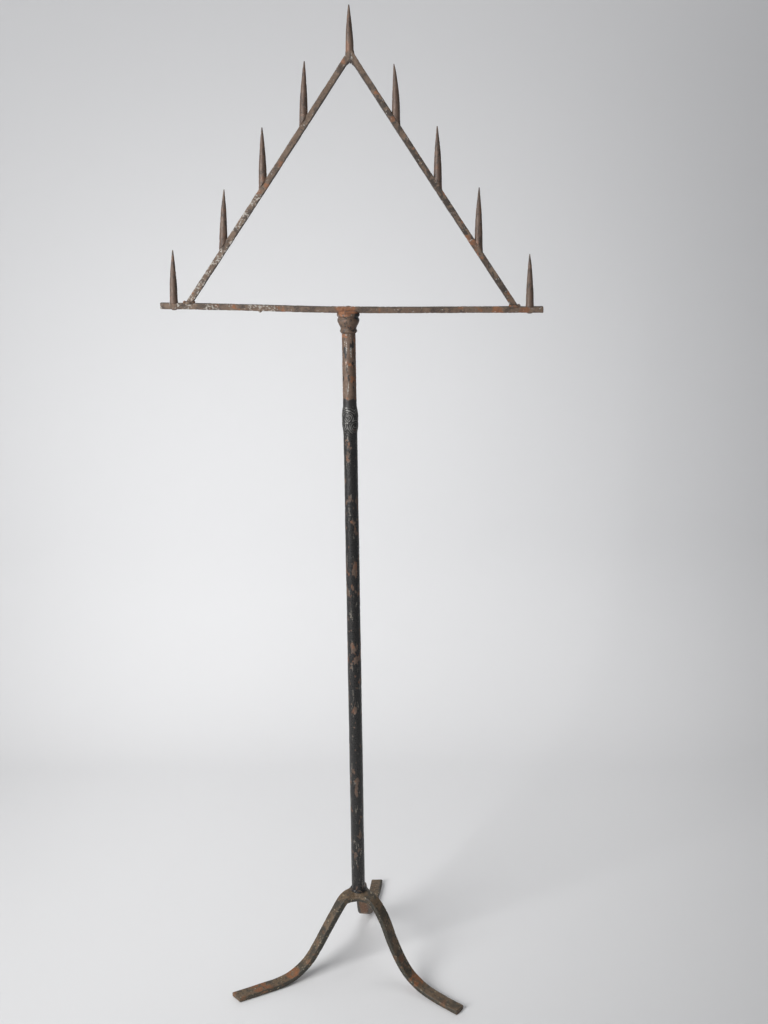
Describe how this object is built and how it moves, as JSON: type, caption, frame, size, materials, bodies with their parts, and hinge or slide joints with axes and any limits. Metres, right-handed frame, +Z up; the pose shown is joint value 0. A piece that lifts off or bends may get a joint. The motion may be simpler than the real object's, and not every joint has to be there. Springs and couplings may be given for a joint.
{
  "type": "triangular pricket candle stand",
  "caption": "Free-standing wrought-iron candle stand: a triangular frame of square bar carrying upright spikes, on a round pole with a turned capital and three bowed flat-bar legs.",
  "frame": {"origin": "on the floor, under the middle of the stand's width and depth; the pole's axis is 6 mm to the left of it and 46.5 mm in front", "axes": "+Z up along the pole, +X along the crossbar to the right, +Y to the back, where the single leg points"},
  "size_m": [0.594, 0.3764, 1.6501],
  "materials": {
    "head_iron": "old wrought iron, brown with rust and pale flaking specks",
    "spike_iron": "old wrought iron, dark brown, worn smooth",
    "weld_rust": "rough weld metal with orange rust",
    "shaft_iron": "bare brown iron with scraps of black paint",
    "grey_weld": "coarse dark grey weld metal, ground over",
    "black_paint": "worn black paint, semi-gloss, over pitted iron",
    "leg_iron": "olive-brown forged iron with dark scale and orange rust"
  },
  "bodies": {
    "root": {"crossbar": "head_iron", "rafter_left": "head_iron", "rafter_right": "head_iron", "apex_spike": "spike_iron", "spike_left_lower": "spike_iron", "spike_left_middle": "spike_iron", "spike_left_upper": "spike_iron", "spike_right_lower": "spike_iron", "spike_right_middle": "spike_iron", "spike_right_upper": "spike_iron", "end_spike_left": "spike_iron", "end_spike_right": "spike_iron", "rafter_weld_left": "head_iron", "rafter_weld_right": "head_iron", "capital_weld": "weld_rust", "capital": "shaft_iron", "upper_shaft": "shaft_iron", "joint_sleeve": "grey_weld", "lower_pole": "black_paint", "pole_weld": "black_paint", "leg_crown": "leg_iron", "leg_left": "leg_iron", "leg_right": "leg_iron", "leg_back": "leg_iron"}
  },
  "joints": []
}
